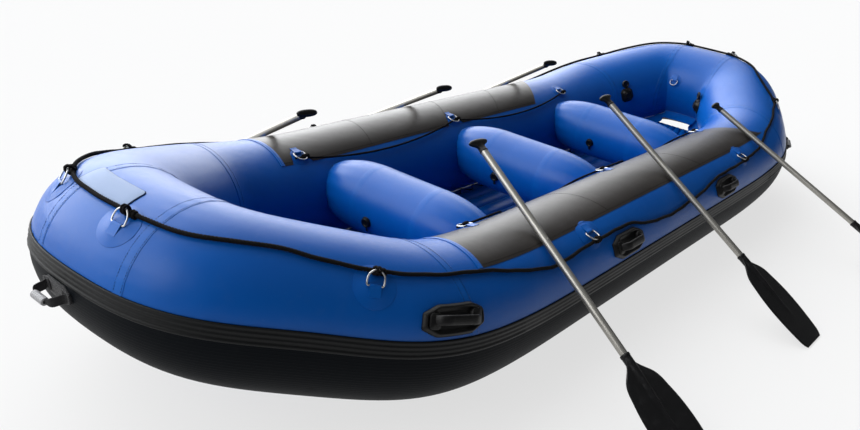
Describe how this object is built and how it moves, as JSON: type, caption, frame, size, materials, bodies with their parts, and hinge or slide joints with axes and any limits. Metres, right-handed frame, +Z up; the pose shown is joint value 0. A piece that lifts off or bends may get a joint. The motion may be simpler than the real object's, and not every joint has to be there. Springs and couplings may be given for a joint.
{
  "type": "inflatable whitewater raft",
  "caption": "Inflated ring raft with three thwarts, ribbed floor, perimeter and inner grab lines, D-rings, grab handles, carry loops and leaning T-grip paddles.",
  "frame": {"origin": "on the ground, under the middle of the flat underside of the floor", "axes": "+Z up, +X towards the stern, +Y to starboard; the bow, where the pale label panel is, points to -X"},
  "size_m": [4.6365, 3.3083, 0.7635],
  "materials": {
    "hull_fabric": "coated fabric, satin",
    "chafe_rubber": "matte",
    "wear_fabric": "satin",
    "rope": "braided",
    "stainless": "polished",
    "paddle_shaft": "satin",
    "black_plastic": "moulded",
    "grip_sleeve": "moulded"
  },
  "bodies": {
    "hull": {"carry_loop_bow": "chafe_rubber", "carry_loop_stern": "chafe_rubber", "chafe_wrap_bow": "chafe_rubber", "chafe_wrap_port": "chafe_rubber", "chafe_wrap_starboard": "chafe_rubber", "chafe_wrap_stern": "chafe_rubber", "chamber_valve_port": "black_plastic", "chamber_valve_starboard": "black_plastic", "floor": "hull_fabric", "grab_handle_port_1": "chafe_rubber", "grab_handle_port_2": "chafe_rubber", "grab_handle_port_3": "chafe_rubber", "grab_handle_starboard_1": "chafe_rubber", "grab_handle_starboard_2": "chafe_rubber", "grab_handle_starboard_3": "chafe_rubber", "inner_line_port": "rope", "inner_line_starboard": "rope", "perimeter_line": "rope", "thwart_1": "hull_fabric", "thwart_2": "hull_fabric", "thwart_3": "hull_fabric", "tube_bow_end": "hull_fabric", "tube_bow_port_corner": "hull_fabric", "tube_bow_starboard_corner": "hull_fabric", "tube_port": "hull_fabric", "tube_starboard": "hull_fabric", "tube_stern_end": "hull_fabric", "tube_stern_port_corner": "hull_fabric", "tube_stern_starboard_corner": "hull_fabric", "wear_patch_port": "wear_fabric", "wear_patch_starboard": "wear_fabric"},
    "carry_sleeve_bow_body": {"carry_sleeve_bow": "grip_sleeve"},
    "carry_sleeve_stern_body": {"carry_sleeve_stern": "grip_sleeve"},
    "d_ring_bow_1_body": {"d_ring_bow_1": "stainless"},
    "d_ring_bow_2_body": {"d_ring_bow_2": "stainless"},
    "d_ring_port_1_body": {"d_ring_port_1": "stainless"},
    "d_ring_port_2_body": {"d_ring_port_2": "stainless"},
    "d_ring_port_3_body": {"d_ring_port_3": "stainless"},
    "d_ring_port_4_body": {"d_ring_port_4": "stainless"},
    "d_ring_starboard_1_body": {"d_ring_starboard_1": "stainless"},
    "d_ring_starboard_2_body": {"d_ring_starboard_2": "stainless"},
    "d_ring_starboard_3_body": {"d_ring_starboard_3": "stainless"},
    "d_ring_starboard_4_body": {"d_ring_starboard_4": "stainless"},
    "d_ring_stern_1_body": {"d_ring_stern_1": "stainless"},
    "d_ring_stern_2_body": {"d_ring_stern_2": "stainless"},
    "paddle_port_1": {"paddle_port_1_blade": "black_plastic", "paddle_port_1_shaft": "paddle_shaft"},
    "paddle_port_2": {"paddle_port_2_blade": "black_plastic", "paddle_port_2_shaft": "paddle_shaft"},
    "paddle_port_3": {"paddle_port_3_blade": "black_plastic", "paddle_port_3_shaft": "paddle_shaft"},
    "paddle_starboard_1": {"paddle_starboard_1_blade": "black_plastic", "paddle_starboard_1_shaft": "paddle_shaft"},
    "paddle_starboard_2": {"paddle_starboard_2_blade": "black_plastic", "paddle_starboard_2_shaft": "paddle_shaft"},
    "paddle_starboard_3": {"paddle_starboard_3_blade": "black_plastic", "paddle_starboard_3_shaft": "paddle_shaft"},
    "valve_cap_1_body": {"valve_cap_1": "black_plastic"},
    "valve_cap_2_body": {"valve_cap_2": "black_plastic"},
    "valve_cap_3_body": {"valve_cap_3": "black_plastic"}
  },
  "joints": [
    {"name": "paddle_port_1_lift", "type": "slide", "parent": "hull", "child": "paddle_port_1", "axis": [0, 0, 1], "range_m": [0, 1]},
    {"name": "paddle_port_2_lift", "type": "slide", "parent": "hull", "child": "paddle_port_2", "axis": [0, 0, 1], "range_m": [0, 1]},
    {"name": "paddle_port_3_lift", "type": "slide", "parent": "hull", "child": "paddle_port_3", "axis": [0, 0, 1], "range_m": [0, 1]},
    {"name": "paddle_starboard_1_lift", "type": "slide", "parent": "hull", "child": "paddle_starboard_1", "axis": [0, 0, 1], "range_m": [0, 1]},
    {"name": "paddle_starboard_2_lift", "type": "slide", "parent": "hull", "child": "paddle_starboard_2", "axis": [0, 0, 1], "range_m": [0, 1]},
    {"name": "paddle_starboard_3_lift", "type": "slide", "parent": "hull", "child": "paddle_starboard_3", "axis": [0, 0, 1], "range_m": [0, 1]},
    {"name": "d_ring_bow_1_swing", "type": "hinge", "parent": "hull", "child": "d_ring_bow_1_body", "pos_m": [-2.19269, -0.08376, 0.6665], "axis": [0.0602, -0.998, -0.0182], "range_deg": [0, 30]},
    {"name": "d_ring_bow_2_swing", "type": "hinge", "parent": "hull", "child": "d_ring_bow_2_body", "pos_m": [-2.14973, 0.27753, 0.65801], "axis": [-0.3667, -0.9237, 0.111], "range_deg": [0, 30]},
    {"name": "d_ring_port_1_swing", "type": "hinge", "parent": "hull", "child": "d_ring_port_1_body", "pos_m": [-1.7428, -0.62076, 0.5463], "axis": [0.8467, -0.4679, -0.2534], "range_deg": [0, 30]},
    {"name": "d_ring_port_2_swing", "type": "hinge", "parent": "hull", "child": "d_ring_port_2_body", "pos_m": [-0.67194, -0.72328, 0.44963], "axis": [-1, 0, 0.0002], "range_deg": [0, 30]},
    {"name": "d_ring_port_3_swing", "type": "hinge", "parent": "hull", "child": "d_ring_port_3_body", "pos_m": [0.88798, -0.72328, 0.45019], "axis": [-1, 0, -0.0088], "range_deg": [0, 30]},
    {"name": "d_ring_port_4_swing", "type": "hinge", "parent": "hull", "child": "d_ring_port_4_body", "pos_m": [1.74168, -0.61954, 0.54777], "axis": [0.8467, 0.4679, 0.2534], "range_deg": [0, 30]},
    {"name": "d_ring_starboard_1_swing", "type": "hinge", "parent": "hull", "child": "d_ring_starboard_1_body", "pos_m": [-1.7428, 0.62076, 0.5463], "axis": [-0.8467, -0.4679, 0.2534], "range_deg": [0, 30]},
    {"name": "d_ring_starboard_2_swing", "type": "hinge", "parent": "hull", "child": "d_ring_starboard_2_body", "pos_m": [-0.67194, 0.72328, 0.44963], "axis": [1, 0, -0.0002], "range_deg": [0, 30]},
    {"name": "d_ring_starboard_3_swing", "type": "hinge", "parent": "hull", "child": "d_ring_starboard_3_body", "pos_m": [0.88798, 0.72328, 0.45019], "axis": [1, 0, 0.0088], "range_deg": [0, 30]},
    {"name": "d_ring_starboard_4_swing", "type": "hinge", "parent": "hull", "child": "d_ring_starboard_4_body", "pos_m": [1.74168, 0.61954, 0.54777], "axis": [-0.8467, 0.4679, -0.2534], "range_deg": [0, 30]},
    {"name": "d_ring_stern_1_swing", "type": "hinge", "parent": "hull", "child": "d_ring_stern_1_body", "pos_m": [2.12648, -0.16267, 0.6988], "axis": [0.1658, 0.9849, 0.0502], "range_deg": [0, 30]},
    {"name": "d_ring_stern_2_swing", "type": "hinge", "parent": "hull", "child": "d_ring_stern_2_body", "pos_m": [2.12648, 0.16267, 0.6988], "axis": [-0.1658, 0.9849, -0.0502], "range_deg": [0, 30]},
    {"name": "carry_sleeve_bow_spin", "type": "hinge", "parent": "hull", "child": "carry_sleeve_bow_body", "pos_m": [-2.33531, 0.06735, 0.42711], "axis": [-0.0437, -0.999, 0.0132], "continuous": true},
    {"name": "carry_sleeve_stern_spin", "type": "hinge", "parent": "hull", "child": "carry_sleeve_stern_body", "pos_m": [1.84355, -0.70971, 0.32422], "axis": [0.8482, 0.4652, 0.2531], "continuous": true},
    {"name": "valve_cap_1_flip", "type": "hinge", "parent": "hull", "child": "valve_cap_1_body", "pos_m": [-1.02239, 0.073, 0.26832], "axis": [0, -1, 0], "range_deg": [0, 150]},
    {"name": "valve_cap_2_flip", "type": "hinge", "parent": "hull", "child": "valve_cap_2_body", "pos_m": [-0.14339, 0.073, 0.26832], "axis": [0, -1, 0], "range_deg": [0, 150]},
    {"name": "valve_cap_3_flip", "type": "hinge", "parent": "hull", "child": "valve_cap_3_body", "pos_m": [0.77261, 0.073, 0.26832], "axis": [0, -1, 0], "range_deg": [0, 150]}
  ]
}
